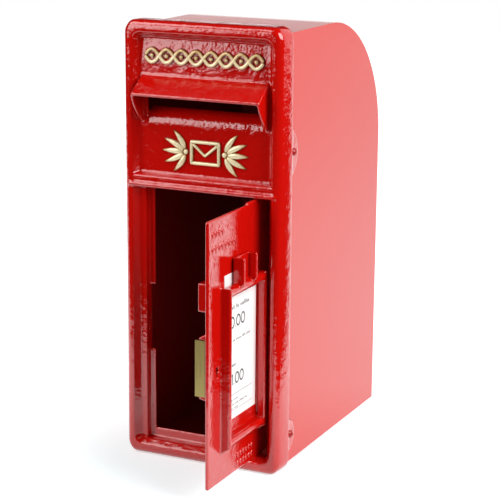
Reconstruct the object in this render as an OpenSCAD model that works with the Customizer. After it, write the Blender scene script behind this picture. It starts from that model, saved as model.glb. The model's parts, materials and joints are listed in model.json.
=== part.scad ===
// Wall letter box: cast front with a hooded posting slot, a side-hung cast door
// that carries a notice frame and a brass lock, and a folded sheet-steel body.
// Millimetres. X runs to the right seen from the front, Y to the rear, Z up.
// The origin is the middle of the front casting's base face.

/* [Front casting] */
// Width of the front casting
casting_w = 224; // [210:2:250]
// Height of the front casting
casting_h = 570; // [540:5:620]
// Depth of the front casting
casting_d = 30; // [29:1:36]
// Radius of the corners seen from the front
corner_r = 16; // [12:1:20]
// Rounding of the rim's outer front edge
rim_round_r = 9; // [6:1:11]
// Width of the rim out to the foot of its inner slope
rim_w = 21; // [19:1:24]
// Width of the rim's inner slope
rim_slope_w = 7; // [4:1:9]
// Radius of the rim's inner corners at the crest
recess_r = 12; // [9:1:14]
// Depth of the face behind the rim's crest
face_depth = 10; // [8:1:11]
// Thickness of the face plate
face_t = 6; // [5:0.5:7]
// Thickness of the side and bottom walls
wall_t = 6.5; // [5.5:0.5:8]
// Thickness of the top wall
top_wall_t = 8.7; // [7:0.1:10]

/* [Ledge] */
// Height of the ledge's underside above the base, the top of the door opening
ledge_z = 358.8; // [340:0.2:370]
// Height of the ledge's front band
ledge_h = 16; // [14:1:20]
// Radius of the ledge's lower bead
lower_bead_r = 3.6; // [3:0.1:4.5]
// Radius of the ledge's upper bead
upper_bead_r = 2.2; // [1.5:0.1:3]
// How far the lower bead stands out from the rim's crest
bead_proud = 1.5; // [1:0.1:2.5]

/* [Posting slot and hood] */
// Width of the posting slot
slot_w = 161; // [150:1:164]
// Height of the slot's lower edge above the base
slot_z = 460; // [455:1:465]
// Radius of the rolled lip under the slot
lip_r = 20; // [16:1:20]
// Thickness of the rolled lip
lip_t = 5.5; // [4.5:0.5:6]
// Width of the hood over its two cheeks
hood_w = 177; // [175:1:180]
// How far the hood reaches in front of the rim's crest
hood_reach = 20; // [16:1:24]
// Height of the hood's back edge where it leaves the face
hood_back_z = 501.5; // [498:0.5:506]
// Height of the hood's front edge
hood_front_z = 480.5; // [478:0.5:484]
// Thickness of the hood's roof
hood_t = 4.6; // [4:0.2:5.4]
// Thickness of the hood's cheeks
cheek_t = 3; // [2.5:0.5:4]
// Fullness of the cheeks' curved edge, from round at 1 to straight at 2
cheek_edge = 1.5; // [1:0.1:2]
// Height of the foot of the cheeks
cheek_foot_z = 441.5; // [438:0.5:446]

/* [Door opening] */
// Width of the front left of the opening
left_jamb_w = 29; // [27:0.5:32]
// Width of the front right of the opening
right_jamb_w = 21.7; // [21:0.1:24]
// Height of the opening's sill above the base
sill_z = 20; // [19:0.5:23]
// Depth of the rebate that takes the door, behind the face
rebate_depth = 9; // [8:0.5:10]
// Thickness of the rebate flange
flange_t = 3; // [2.5:0.5:4]
// Width of the left rebate flange
left_flange_w = 7.5; // [6:0.5:8]
// Height of the bottom rebate flange above the sill
bottom_flange_h = 12.5; // [10:0.5:18]
// Lower end of the gap in the left flange that clears the lock
lock_gap_z = 141; // [130:1:150]
// Length of the gap in the left flange
lock_gap_h = 86; // [80:1:100]
// Thickness of the left jamb web, which the bolt shoots behind
jamb_t = 5; // [4:0.5:7]
// Depth of the left jamb web behind the rim's crest
jamb_depth = 29; // [28:0.1:29.2]

/* [Door] */
// Thickness of the door plate
door_t = 4; // [3.5:0.1:4.5]
// Gap between the door's edges and the opening
door_gap = 0.8; // [0.5:0.1:1.5]
// Gap between the shut door and the rebate flange
shut_gap = 0.2; // [0.1:0.1:0.5]
// Gap between the door's lower edge and the sill
sill_gap = 1; // [0.5:0.1:1.5]
// Angle at which the door is drawn open
door_angle = 90; // [0:5:95]
// Radius of the door's corners
door_corner_r = 3; // [2:0.5:5]
// Height of the raised part of the top edge by the hinge
top_step_h = 2.5; // [1:0.5:4]
// Length of the raised part of the top edge
top_step_w = 65; // [50:1:80]
// Length of the block cast on the back near the free edge
block_l = 22; // [16:1:28]
// Height of the block
block_h = 35; // [30:1:50]
// Height of the block's lower face above the base
block_z = 243; // [240:1:255]
// How far the block stands off the back of the door
block_reach = 14.3; // [10:0.1:15]

/* [Hinge] */
// Distance of the hinge axis from the opening's right edge
hinge_inset = 20.8; // [18:0.1:24]
// Depth of the hinge axis behind the front of the rebate flange
hinge_back = 3; // [2:0.5:4]
// Radius of the hinge pins
pin_r = 3; // [2.5:0.1:3.5]
// Running clearance between pin and knuckle, on the radius
pin_clearance = 0.06; // [0.02:0.01:0.1]
// Radius of the door's knuckles
knuckle_r = 6; // [5:0.5:6.5]
// Length of each knuckle
knuckle_l = 24; // [18:1:40]
// Radius of the bosses that hold the pins in the casting
pin_boss_r = 8; // [6:0.5:9]
// Length of the upper pin boss
top_boss_l = 17; // [12:1:24]
// Length of the lower pin boss
bottom_boss_l = 10.5; // [8:0.5:11]
// Length of pin inside a knuckle
pin_grip = 20; // [14:1:22]

/* [Notice frame] */
// Width of the notice frame over its side ribs
frame_w = 105; // [96:1:106]
// How far the frame's middle lies left of the door's middle
frame_offset = 0.4; // [0:0.2:4]
// Height of the bottom of the frame's side ribs above the base
frame_z = 58; // [50:1:66]
// Height of the top of the frame above the base
frame_top_z = 268; // [255:0.5:275]
// How far the frame stands out from the door
frame_reach = 13.5; // [11:0.5:14]
// Thickness of the frame's ribs
rib_t = 6; // [5:0.5:7]
// Rounding of the ribs' front edges
rib_round_r = 2.5; // [1:0.5:2.5]
// Height of the top bar
top_bar_h = 13; // [9:0.5:14]
// Height of the bottom bar
bottom_bar_h = 11; // [8:0.5:12]
// Height of the bottom bar's lower face above the bottom of the ribs
bottom_bar_rise = 8.5; // [6:0.5:12]
// Gap behind the top bar and the ribs' lips that the card slides through
card_slot = 2.8; // [2:0.1:3]
// Depth of the channels in the ribs that take the card's edges
card_channel = 3; // [2:0.5:3.5]
// Distance between the two ribs of the tab holder
tab_w = 29; // [24:1:34]
// How far the tab holder's middle lies left of the frame's middle
tab_offset = 4.4; // [0:0.2:8]
// Thickness of the tab holder's ribs
tab_rib_t = 5.5; // [4.5:0.5:6]
// How far the tab holder's ribs stand out from the door
tab_reach = 17.2; // [15:0.1:18]
// Height of the tab holder above the frame
tab_h = 32; // [28:0.5:40]
// Width of the grooves in the tab holder's ribs
tab_groove_w = 2.8; // [2:0.1:3.2]
// Depth of the grooves in the tab holder's ribs
tab_groove_d = 2; // [1:0.1:2.5]
// Thickness of the tab holder's back
tab_back_t = 3; // [2:0.5:4]

/* [Notice card] */
// Width of the card
card_w = 88; // [70:1:90]
// How far the card's middle lies right of the frame's middle
card_offset = 1.2; // [0:0.1:2]
// Height of the card
card_h = 187; // [160:1:195]
// Height of the card's lower edge above the base
card_z = 94; // [76:1:100]
// Thickness of the card
card_t = 0.5; // [0.4:0.1:1]

/* [Lock] */
// Height of the lock's front plate
lock_h = 70.5; // [66:0.5:76]
// Height of the lock's lower end above the base
lock_z = 137.5; // [130:0.5:142]
// Depth of the lock from its main plate to its cap
lock_t = 13.4; // [12.5:0.1:15]
// Width of the lock from its front plate to the back of its main plate
lock_w = 45; // [42:1:52]
// Thickness of the lock's plates and walls
lock_wall = 2; // [1.6:0.1:2.2]
// Height of the lock's box
lock_box_h = 42; // [40:1:48]
// Thickness of the lock's cap
cap_t = 1.6; // [1.2:0.1:2]
// Gap between the lock's front plate and the left flange
lock_gap = 1.2; // [1:0.1:1.6]
// Distance of the key's axis from the lock's front face
backset = 17.7; // [16:0.1:20]
// Height of the bolt
bolt_h = 21.5; // [18:0.5:24]
// Thickness of the bolt
bolt_t = 5.2; // [4:0.1:5.4]
// Distance that the bolt slides
bolt_throw = 11; // [8:0.5:11]
// Clearance round the bolt
bolt_clearance = 0.25; // [0.15:0.05:0.4]
// Radius of the keyhole's round part
keyhole_r = 3.8; // [3:0.1:4.5]
// Width of the keyhole's slot
keyhole_w = 3; // [2:0.1:3.6]
// Length of the keyhole's slot below the key's axis
keyhole_l = 10.5; // [8:0.5:12]
// Radius of the drill pin that the key fits over
drill_pin_r = 1.6; // [1.2:0.1:2]
// Thickness of the bolt's spring
spring_t = 0.6; // [0.4:0.1:0.8]
// Height of the pads that the lock is screwed to
pad_h = 14; // [12:0.5:16]
// How far the pads stand off the back of the door
pad_t = 4.2; // [3.5:0.1:5]
// How far the pads reach past the ends of the lock
pad_past = 4.5; // [3:0.5:6]
// Length of the stops cast at the two ends of the lock
stop_l = 20; // [14:1:26]
// Height of the upper stop where it meets the door
upper_stop_h = 10; // [6:0.5:14]
// Height of the lower stop where it meets the door
lower_stop_h = 6; // [5:0.5:10]
// Height of the stops at their outer end
stop_end_h = 3; // [1:0.5:5]
// How far the stops stand off the back of the door
stop_reach = 13; // [8:0.5:13.4]
// Gap between the stops and the ends of the lock
stop_gap = 0.3; // [0.2:0.1:0.6]

/* [Body] */
// Distance of the body's back from the rim's crest
body_depth = 337; // [300:1:380]
// Radius of the body's curved back
body_curve_r = 172; // [120:1:200]
// Thickness of the body's sheet
sheet_t = 1.5; // [1.2:0.1:2]
// Gap between the body and the casting's walls
body_gap = 0.3; // [0.2:0.1:0.5]
// Distance of the body's front edge behind the face plate
body_front_gap = 1; // [0.5:0.5:2]

/* [Wall fixing] */
// Distance between the wall-fixing holes across the box
wall_hole_dx = 120; // [80:5:150]
// Distance between the wall-fixing holes up the box
wall_hole_dz = 280; // [200:5:300]
// Height of the middle of the wall-fixing holes above the base
wall_hole_z = 210; // [180:5:230]
// Radius of the wall-fixing holes
wall_hole_r = 3.5; // [2.5:0.1:5]

/* [Side fixings] */
// Height of the upper side screws above the base
upper_screw_z = 415; // [400:1:430]
// Height of the lower side screws above the base
lower_screw_z = 47.5; // [44:0.5:60]
// Distance of the side screws behind the casting's rear edge
screw_back = 6; // [5:0.5:8]
// Length of the upper lugs up the side
upper_lug_l = 61; // [50:1:70]
// Length of the lower lugs up the side
lower_lug_l = 45; // [40:1:52]
// How far the lugs reach behind the casting's rear edge
lug_reach = 18.5; // [16:0.5:22]
// Gap between the lugs' outer face and the casting's side
lug_inset = 0.6; // [0.2:0.1:1.5]
// Radius of the side screws
screw_r = 2.5; // [2:0.1:3]
// Radius of the side screws' heads
screw_head_r = 5.2; // [4.5:0.1:6]
// Height of the side screws' heads
screw_head_h = 3.2; // [2.5:0.1:4]
// Length of the side screws under the head
screw_l = 15; // [14:0.5:20]
// Width across the flats of the nuts
nut_af = 8; // [7:0.5:9]
// Height of the nuts
nut_h = 4; // [3:0.5:5]
// Clearance of the screws in their holes, on the radius
hole_clearance = 0.2; // [0.1:0.1:0.5]

/* [Hidden] */
$fn = 64;

// Colours, as the photo shows them
red = "firebrick";
brass = "darkkhaki";
steel = "silver";

// A cut runs past the solid it opens by this much
past = 1;
// Pieces of one casting sink into each other by this much
sink = 0.5;

// Edges of the door opening, from the middle of the box
opening_left = casting_w / 2 - left_jamb_w;
opening_right = casting_w / 2 - right_jamb_w;

// Depths, measured from the rim's crest plane at y_rim
y_rim = -casting_d / 2;
y_face = y_rim + face_depth;
y_face_back = y_face + face_t;
y_rear = y_rim + casting_d;
y_flange = y_face + rebate_depth;
y_flange_back = y_flange + flange_t;
y_door_back = y_flange - shut_gap;
y_door = y_door_back - door_t;
y_back = y_rim + body_depth;

// Casting
inner_x = casting_w / 2 - wall_t;
inner_top_z = casting_h - top_wall_t;
crest_in = rim_w - rim_slope_w;
ledge_top_z = ledge_z + ledge_h;
y_bead = y_rim - bead_proud + lower_bead_r;
shelf_t = jamb_t;
sill_drop_z = sill_z - shelf_t;

// Hood
hood_slope = (hood_back_z - hood_front_z) / (hood_reach + face_depth);
lip_front_r = hood_t / 2;
y_hood = y_rim - hood_reach;
y_lip_axis = y_hood + lip_front_r;
cheek_x = hood_w / 2 - cheek_t;
y_roll = y_face + lip_r;
z_roll = slot_z - lip_r;
slot_top_z = hood_z(y_face) - hood_t;

// Hinge axis
hinge_x = opening_right - hinge_inset;
hinge_y = y_flange + hinge_back;

// Door
door_left = -opening_left + door_gap;
door_right = opening_right - door_gap;
door_z = sill_z + sill_gap;
door_top_z = ledge_z - door_gap;
door_side_top_z = door_top_z - top_step_h;
door_mid_x = (door_left + door_right) / 2;
door_half_t = door_t / 2;
knuckle_base_z = door_z;
knuckle_top_z = door_top_z - knuckle_l;

// Notice frame
frame_left = door_mid_x - frame_offset - frame_w / 2;
frame_right = frame_left + frame_w;
frame_mid_x = (frame_left + frame_right) / 2;
y_frame = y_door - frame_reach;
y_top_bar_back = y_door - card_slot;
top_bar_z = frame_top_z - top_bar_h;
bottom_bar_z = frame_z + bottom_bar_rise;
y_tab = y_door - tab_reach;
tab_left = frame_mid_x - tab_offset - tab_w / 2;
tab_right = tab_left + tab_w;
tab_top_z = frame_top_z + tab_h;
y_card = y_door - card_t;

// Lock
lock_left = -opening_left + left_flange_w + lock_gap;
lock_right = lock_left + lock_w;
y_lock = y_door_back + pad_t;
y_lock_plate = y_lock + lock_wall;
y_lock_back = y_lock + lock_t;
y_cap = y_lock_back - cap_t;
y_bolt_back = y_cap - bolt_clearance;
y_bolt = y_bolt_back - bolt_t;
lock_mid_z = lock_z + lock_h / 2;
box_z = lock_mid_z - lock_box_h / 2;
box_top_z = box_z + lock_box_h;
box_left = lock_left + lock_wall;
box_right = lock_right - lock_wall * 2;
key_x = lock_left + backset;
bolt_z = lock_mid_z - bolt_h / 2;
bolt_top_z = bolt_z + bolt_h;
key_z = bolt_z + keyhole_r + lock_wall;
bolt_right = box_right - lock_wall * 2;
talon_top_z = key_z + keyhole_r + drill_pin_r;
talon_left = key_x - drill_pin_r * 2;
talon_right = key_x + drill_pin_r * 2 + bolt_throw;
post_r = 2.4;
post_inset = post_r + lock_wall - sink;
cap_screw_r = 1;
cap_screw_head_r = 1.9;
cap_screw_head_h = 1;
lock_screw_r = 2;
lock_screw_head_r = 3.4;
lock_screw_head_h = 2;
lock_screw_l = 7.2;
lock_screw_inset = 8;
pad_screw_z = (box_z - lock_z) / 2;

// Body
body_half = inner_x - body_gap;
body_z = wall_t + body_gap;
body_top_z = inner_top_z - body_gap;
y_body = y_face_back + body_front_gap;
panel_in = body_half - sheet_t;

// Side fixings
lug_outer = casting_w / 2 - lug_inset;
y_screw = y_rear + screw_back;
screw_hole_r = screw_r + hole_clearance;

// Height of the hood's upper surface at depth y
function hood_z(y) = hood_front_z + (y - y_hood) * hood_slope;

// Radius of an arc with the given chord and height
function arc_r(chord, rise) = (chord * chord / 4 + rise * rise) / (2 * rise);

// A section drawn in Y and Z, carried along X from x0 to x1
module along_x(x0, x1) {
  translate([x0, 0, 0]) rotate([90, 0, 90]) linear_extrude(x1 - x0) children();
}

// A section drawn in X and Z, carried along Y from y0 to y1
module along_y(y0, y1) {
  translate([0, y1, 0]) rotate([90, 0, 0]) linear_extrude(y1 - y0) children();
}

// A round bar along X
module bar_x(x0, x1, y, z, r) {
  translate([x0, y, z]) rotate([0, 90, 0]) cylinder(r = r, h = x1 - x0);
}

// A round bar along Y
module bar_y(x, y0, y1, z, r) {
  translate([x, y0, z]) rotate([-90, 0, 0]) cylinder(r = r, h = y1 - y0);
}

// A block between two corners
module block(x0, x1, y0, y1, z0, z1) {
  translate([x0, y0, z0]) cube([x1 - x0, y1 - y0, z1 - z0]);
}

// A rectangle with round corners, from its low corner
module rounded(x0, x1, z0, z1, r) {
  translate([x0 + r, z0]) square([x1 - x0 - 2 * r, z1 - z0]);
  translate([x0, z0 + r]) square([x1 - x0, z1 - z0 - 2 * r]);
  for (x = [x0 + r, x1 - r], z = [z0 + r, z1 - r]) translate([x, z]) circle(r);
}

// Turns what is drawn shut about the hinge axis to the drawn angle
module swung() {
  translate([hinge_x, hinge_y, 0]) rotate([0, 0, door_angle])
    translate([-hinge_x, -hinge_y, 0]) children();
}

// Both sides of the box
module both_sides() {
  children();
  mirror([1, 0, 0]) children();
}

// Outer form of the casting: a slab whose front edge is rounded all the way round
module casting_slab() {
  half = casting_w / 2;
  for (x = [-half + corner_r, half - corner_r], z = [corner_r, casting_h - corner_r])
    translate([x, y_rim, z]) rotate([-90, 0, 0]) rotate_extrude()
      intersection() {
        square([corner_r, casting_d]);
        union() {
          square([corner_r - rim_round_r, casting_d]);
          translate([0, rim_round_r]) square([corner_r, casting_d]);
          translate([corner_r - rim_round_r, rim_round_r]) circle(rim_round_r);
        }
      }
  along_x(-half + corner_r, half - corner_r)
    rim_section(casting_h);
  translate([0, 0, corner_r]) linear_extrude(casting_h - 2 * corner_r)
    translate([-half, 0]) mirror([1, -1]) rim_section(casting_w);
}

// Section of the slab from one outer edge to the other, depth first
module rim_section(span) {
  translate([y_rim, rim_round_r]) square([casting_d, span - 2 * rim_round_r]);
  translate([y_rim + rim_round_r, 0]) square([casting_d - rim_round_r, span]);
  for (z = [rim_round_r, span - rim_round_r])
    translate([y_rim + rim_round_r, z]) circle(rim_round_r);
}

// Sunk face inside the rim, with the rim's inner slope on all sides and round corners
module face_recess() {
  flare = rim_slope_w / face_depth * past;
  half = casting_w / 2 - crest_in;
  corner_x = half - recess_r;
  low_z = crest_in + recess_r;
  high_z = casting_h - low_z;
  translate([0, 0, low_z]) linear_extrude(high_z - low_z) polygon([
    [-half - flare, y_rim - past],
    [-half + rim_slope_w, y_face],
    [half - rim_slope_w, y_face],
    [half + flare, y_rim - past]]);
  along_x(-corner_x, corner_x) polygon([
    [y_rim - past, crest_in - flare],
    [y_face, rim_w],
    [y_face, casting_h - rim_w],
    [y_rim - past, casting_h - crest_in + flare]]);
  for (x = [-corner_x, corner_x], z = [low_z, high_z])
    translate([x, y_rim - past, z]) rotate([-90, 0, 0])
      cylinder(r1 = recess_r + flare, r2 = recess_r - rim_slope_w, h = face_depth + past);
}

// Ledge between the posting face and the door, a band with a bead at each edge
module ledge() {
  band = casting_w / 2 - crest_in;
  bead = casting_w / 2 - rim_round_r;
  block(-band, band, y_rim + bead_proud / 2, y_face_back,
    ledge_z + lower_bead_r, ledge_top_z - upper_bead_r);
  block(-band, band, y_bead, y_face_back, ledge_z, ledge_top_z - upper_bead_r);
  bar_x(-bead, bead, y_bead, ledge_z + lower_bead_r, lower_bead_r);
  for (x = [-bead, bead])
    translate([x, y_bead, ledge_z + lower_bead_r]) sphere(lower_bead_r);
  bar_x(-band, band, y_rim + upper_bead_r, ledge_top_z - upper_bead_r, upper_bead_r);
  along_x(-band, band) polygon([
    [y_rim + upper_bead_r, ledge_top_z - upper_bead_r],
    [y_rim + upper_bead_r, ledge_top_z],
    [y_face + sink, ledge_top_z + upper_bead_r],
    [y_face + sink, ledge_top_z - upper_bead_r]]);
}

// Roof of the hood, with its round front lip
module hood_roof() {
  along_x(-hood_w / 2, hood_w / 2) polygon([
    [y_lip_axis, hood_z(y_lip_axis)],
    [y_face_back, hood_z(y_face_back)],
    [y_face_back, hood_z(y_face_back) - hood_t],
    [y_lip_axis, hood_z(y_lip_axis) - hood_t]]);
  bar_x(-hood_w / 2, hood_w / 2, y_lip_axis, hood_z(y_lip_axis) - lip_front_r, lip_front_r);
}

// One cheek, closing the hood's end and curving back to the face
module hood_cheek(x0, x1) {
  z_lip = hood_z(y_lip_axis) - lip_front_r;
  along_x(x0, x1) polygon(concat(
    [[y_face + sink, hood_z(y_face + sink)], [y_lip_axis, hood_z(y_lip_axis)]],
    [for (a = [0 : 10 : 90]) [
      y_face - (y_face - y_lip_axis + lip_front_r) * pow(cos(a), cheek_edge),
      z_lip - (z_lip - cheek_foot_z) * pow(sin(a), cheek_edge)]],
    [[y_face + sink, cheek_foot_z]]));
}

// Rolled lip that leads the post in over the slot's lower edge
module rolled_lip() {
  intersection() {
    difference() {
      bar_x(-slot_w / 2 - sink, slot_w / 2 + sink, y_roll, z_roll, lip_r);
      bar_x(-slot_w, slot_w, y_roll, z_roll, lip_r - lip_t);
    }
    block(-slot_w, slot_w, y_face, y_roll, z_roll - sink, slot_z);
  }
}

// Opening of the posting slot through the face
module slot_cut() {
  difference() {
    block(-slot_w / 2, slot_w / 2, y_face - past, y_roll + past, z_roll, slot_top_z);
    bar_x(-slot_w, slot_w, y_roll, z_roll, lip_r);
    block(-slot_w, slot_w, y_roll, y_roll + 2 * past, z_roll - past, slot_z);
  }
}

// Hollow behind the face that the body fits into
module rear_hollow() {
  block(-inner_x, inner_x, y_face_back, y_rear + past, wall_t, inner_top_z);
}

// Sill shelf, left jamb web and the rebate flange that the door shuts against
module door_rebate() {
  flange_top = ledge_z + shelf_t;
  flange_right = hinge_x - pin_boss_r - door_t;
  block(-opening_left - jamb_t, opening_right, y_face, y_flange_back, sill_drop_z, sill_z);
  block(-opening_left - jamb_t, -opening_left, y_face, y_rim + jamb_depth,
    sill_drop_z, flange_top);
  block(-opening_left - sink, flange_right, y_flange, y_flange_back,
    sill_z - sink, sill_z + bottom_flange_h);
  block(-opening_left - sink, -opening_left + left_flange_w, y_flange, y_flange_back,
    sill_z, lock_gap_z);
  block(-opening_left - sink, -opening_left + left_flange_w, y_flange, y_flange_back,
    lock_gap_z + lock_gap_h, flange_top);
}

// Bosses behind the ledge and the sill that hold the hinge pins
module pin_bosses() {
  translate([hinge_x, hinge_y, ledge_z]) cylinder(r = pin_boss_r, h = top_boss_l);
  translate([hinge_x, hinge_y, sill_z - bottom_boss_l])
    cylinder(r = pin_boss_r, h = bottom_boss_l);
  for (z = [ledge_z, sill_drop_z])
    block(hinge_x - pin_boss_r, hinge_x + pin_boss_r, y_face + sink, hinge_y,
      z, z + shelf_t);
}

// Lug on the casting's side that a side screw passes through
module side_lug(length, z) {
  r = arc_r(length, lug_reach);
  intersection() {
    bar_x(inner_x, lug_outer, y_rear + lug_reach - r, z, r);
    block(0, casting_w, y_rear - wall_t, y_rear + lug_reach + past, 0, casting_h);
  }
}

module front_casting() {
  color(red) difference() {
    union() {
      difference() {
        casting_slab();
        face_recess();
        rear_hollow();
      }
      ledge();
      hood_roof();
      hood_cheek(cheek_x, hood_w / 2);
      hood_cheek(-hood_w / 2, -cheek_x);
      both_sides() {
        side_lug(upper_lug_l, upper_screw_z);
        side_lug(lower_lug_l, lower_screw_z);
      }
    }
    slot_cut();
    block(-opening_left, opening_right, y_rim - past, y_rear, sill_z, ledge_z);
    for (z = [upper_screw_z, lower_screw_z])
      bar_x(-casting_w, casting_w, y_screw, z, screw_hole_r);
  }
  color(red) rolled_lip();
  color(red) difference() {
    union() {
      door_rebate();
      pin_bosses();
    }
    translate([hinge_x, hinge_y, 0]) cylinder(r = pin_r, h = casting_h);
  }
}

// Outline of the door with the raised stretch of its top edge by the hinge
module door_outline() {
  rounded(door_left, door_right, door_z, door_side_top_z, door_corner_r);
  rounded(door_right - top_step_w, door_right, door_top_z - 4 * door_corner_r, door_top_z, 1);
}

// Keyhole: a round top with a straight slot below it
module keyhole() {
  translate([key_x, key_z]) circle(keyhole_r);
  translate([key_x - keyhole_w / 2, key_z - keyhole_l]) square([keyhole_w, keyhole_l]);
}

// Side rib of the notice frame, drawn at the left one's place: round front edges,
// a channel for the card's edge and a foot that slopes back to the door
module frame_rib() {
  x0 = frame_left;
  x1 = x0 + rib_t;
  y_round = y_frame + rib_round_r;
  difference() {
    translate([0, 0, frame_z]) linear_extrude(frame_top_z - frame_z) {
      translate([x0, y_round]) square([rib_t, y_door + sink - y_round]);
      translate([x0 + rib_round_r, y_frame])
        square([rib_t - 2 * rib_round_r, 2 * rib_round_r]);
      for (x = [x0 + rib_round_r, x1 - rib_round_r]) translate([x, y_round])
        circle(rib_round_r);
    }
    along_x(x0 - past, x1 + past) polygon([
      [y_door, frame_z],
      [y_frame, bottom_bar_z],
      [y_frame - past, bottom_bar_z],
      [y_frame - past, frame_z - past],
      [y_door, frame_z - past]]);
    block(x1 - card_channel, x1 + past, y_top_bar_back, y_door,
      bottom_bar_z + bottom_bar_h, frame_top_z + past);
  }
}

// Bar of the notice frame with a half-round front
module frame_bar(z, h, y_bar_back) {
  y_axis = y_frame + h / 2;
  block(frame_left + sink, frame_right - sink, y_axis, y_bar_back, z, z + h);
  bar_x(frame_left + sink, frame_right - sink, y_axis, z + h / 2, h / 2);
}

// Holder of the day tab: two ribs with a groove each, and a back between them
module tab_holder() {
  difference() {
    union() {
      block(tab_left - sink, tab_right + sink, y_top_bar_back - tab_back_t, y_top_bar_back,
        top_bar_z, tab_top_z);
      for (x = [tab_left - tab_rib_t, tab_right]) along_x(x, x + tab_rib_t) polygon([
        [y_top_bar_back, top_bar_z],
        [y_frame + top_bar_h / 2, top_bar_z],
        [y_tab, frame_top_z],
        [y_tab, tab_top_z],
        [y_top_bar_back, tab_top_z]]);
    }
    block(tab_left - tab_groove_d, tab_right + tab_groove_d,
      y_top_bar_back - tab_back_t - tab_groove_w, y_top_bar_back - tab_back_t,
      frame_top_z + sink, tab_top_z + past);
  }
}

// Notice frame and the tab holder that stands on its top bar
module notice_frame() {
  frame_rib();
  translate([frame_left + frame_right, 0, 0]) mirror([1, 0, 0]) frame_rib();
  frame_bar(bottom_bar_z, bottom_bar_h, y_door + sink);
  frame_bar(top_bar_z, top_bar_h, y_top_bar_back);
  tab_holder();
}

// Stop cast on the door's back at one end of the lock, sloped away from it
module lock_stop(z, h, way) {
  along_x(lock_left + lock_gap, lock_left + lock_gap + stop_l) polygon([
    [y_door_back - sink, z],
    [y_door_back + stop_reach, z],
    [y_door_back + stop_reach, z + way * stop_end_h],
    [y_door_back - sink, z + way * h]]);
}

// Pads and the block on the back of the door
module back_features() {
  for (z = [lock_z - pad_past, lock_z + lock_h + pad_past - pad_h])
    block(lock_left + lock_gap, lock_right - lock_gap, y_door_back - sink, y_lock,
      z, z + pad_h);
  lock_stop(lock_z + lock_h + stop_gap, upper_stop_h, 1);
  lock_stop(lock_z - stop_gap, lower_stop_h, -1);
  block(lock_left + lock_gap, lock_left + lock_gap + block_l, y_door_back - sink,
    y_door_back + block_reach, block_z, block_z + block_h);
}

// Screw positions of the lock: [x, z] of its four corners
function lock_screw_spots() = [
  for (x = [lock_left + lock_screw_inset, lock_right - lock_screw_inset],
    z = [lock_z + pad_screw_z, lock_z + lock_h - pad_screw_z]) [x, z]];

module door() {
  color(red) swung() difference() {
    union() {
      along_y(y_door, y_door_back) door_outline();
      notice_frame();
      back_features();
      for (z = [knuckle_base_z, knuckle_top_z])
        translate([hinge_x, hinge_y, z]) cylinder(r = knuckle_r, h = knuckle_l);
    }
    for (z = [knuckle_base_z, knuckle_top_z])
      translate([hinge_x, hinge_y, z - past])
        cylinder(r = pin_r + pin_clearance, h = knuckle_l + 2 * past);
    along_y(y_door - past, y_door_back + past) keyhole();
    for (p = lock_screw_spots())
      bar_y(p[0], y_lock_plate - lock_screw_l - sink, y_lock + past, p[1], lock_screw_r);
  }
}

module hinge_pin_top() {
  color(steel) translate([hinge_x, hinge_y, door_top_z - pin_grip])
    cylinder(r = pin_r, h = ledge_z + top_boss_l - door_top_z + pin_grip);
}

module hinge_pin_bottom() {
  color(steel) translate([hinge_x, hinge_y, sill_z - bottom_boss_l])
    cylinder(r = pin_r, h = bottom_boss_l + door_z - sill_z + pin_grip);
}

module notice_card() {
  color("white") swung() along_y(y_card, y_door)
    translate([frame_mid_x + card_offset, 0])
      rounded(-card_w / 2, card_w / 2, card_z, card_z + card_h, 1);
}

// The two posts of the lock's box, at opposite corners: [x, z] of each axis
function post_spots() = [
  [box_left + post_inset, box_z + post_inset],
  [box_right - post_inset, box_top_z - post_inset]];

// Main plate, front plate, box walls and cap posts of the lock, one brass piece
module lock_case() {
  color(brass) swung() difference() {
    union() {
      along_y(y_lock, y_lock_plate)
        rounded(lock_left, lock_right, lock_z, lock_z + lock_h, lock_wall);
      block(lock_left, lock_left + lock_wall, y_lock, y_lock_back, lock_z, lock_z + lock_h);
      difference() {
        block(box_left, box_right, y_lock, y_cap, box_z, box_top_z);
        block(box_left, box_right - lock_wall, y_lock_plate, y_cap + past,
          box_z + lock_wall, box_top_z - lock_wall);
      }
      for (p = post_spots()) bar_y(p[0], y_lock, y_cap, p[1], post_r);
    }
    block(lock_left - past, lock_left + lock_wall + past, y_bolt - bolt_clearance,
      y_bolt_back + bolt_clearance, bolt_z - bolt_clearance, bolt_top_z + bolt_clearance);
    along_y(y_lock - past, y_lock_plate + past) keyhole();
    for (p = lock_screw_spots())
      bar_y(p[0], y_lock - past, y_lock_plate + past, p[1], lock_screw_r + hole_clearance);
    for (p = post_spots())
      bar_y(p[0], y_lock_plate, y_cap + past, p[1], cap_screw_r);
  }
}

module lock_cap() {
  color(brass) swung() difference() {
    along_y(y_cap, y_lock_back)
      translate([box_left, box_z]) square([box_right - box_left, lock_box_h]);
    bar_y(key_x, y_cap - past, y_lock_back + past, key_z, drill_pin_r);
    for (p = post_spots())
      bar_y(p[0], y_cap - past, y_lock_back + past, p[1], cap_screw_r + hole_clearance / 2);
  }
}

// Bolt, cut away below for the key and the drill pin
module lock_bolt() {
  color(brass) swung() along_y(y_bolt, y_bolt_back) difference() {
    translate([lock_left, bolt_z]) square([bolt_right - lock_left, bolt_h]);
    translate([talon_left, bolt_z - past])
      square([talon_right - talon_left, talon_top_z - bolt_z + past]);
  }
}

// Bowed leaf spring on top of the bolt, pressing up under the box's top wall
module bolt_spring() {
  left = box_left + lock_wall + bolt_throw + bolt_clearance;
  spring_l = box_right - post_inset - post_r - bolt_clearance - left;
  rise = box_top_z - lock_wall - bolt_clearance - bolt_top_z;
  r = arc_r(spring_l, rise);
  color(steel) swung() along_y(y_bolt + bolt_clearance, y_bolt_back - bolt_clearance)
    intersection() {
      translate([left + spring_l / 2, bolt_top_z + rise - r]) difference() {
        circle(r);
        circle(r - spring_t);
      }
      translate([left, bolt_top_z]) square([spring_l, rise]);
    }
}

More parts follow.
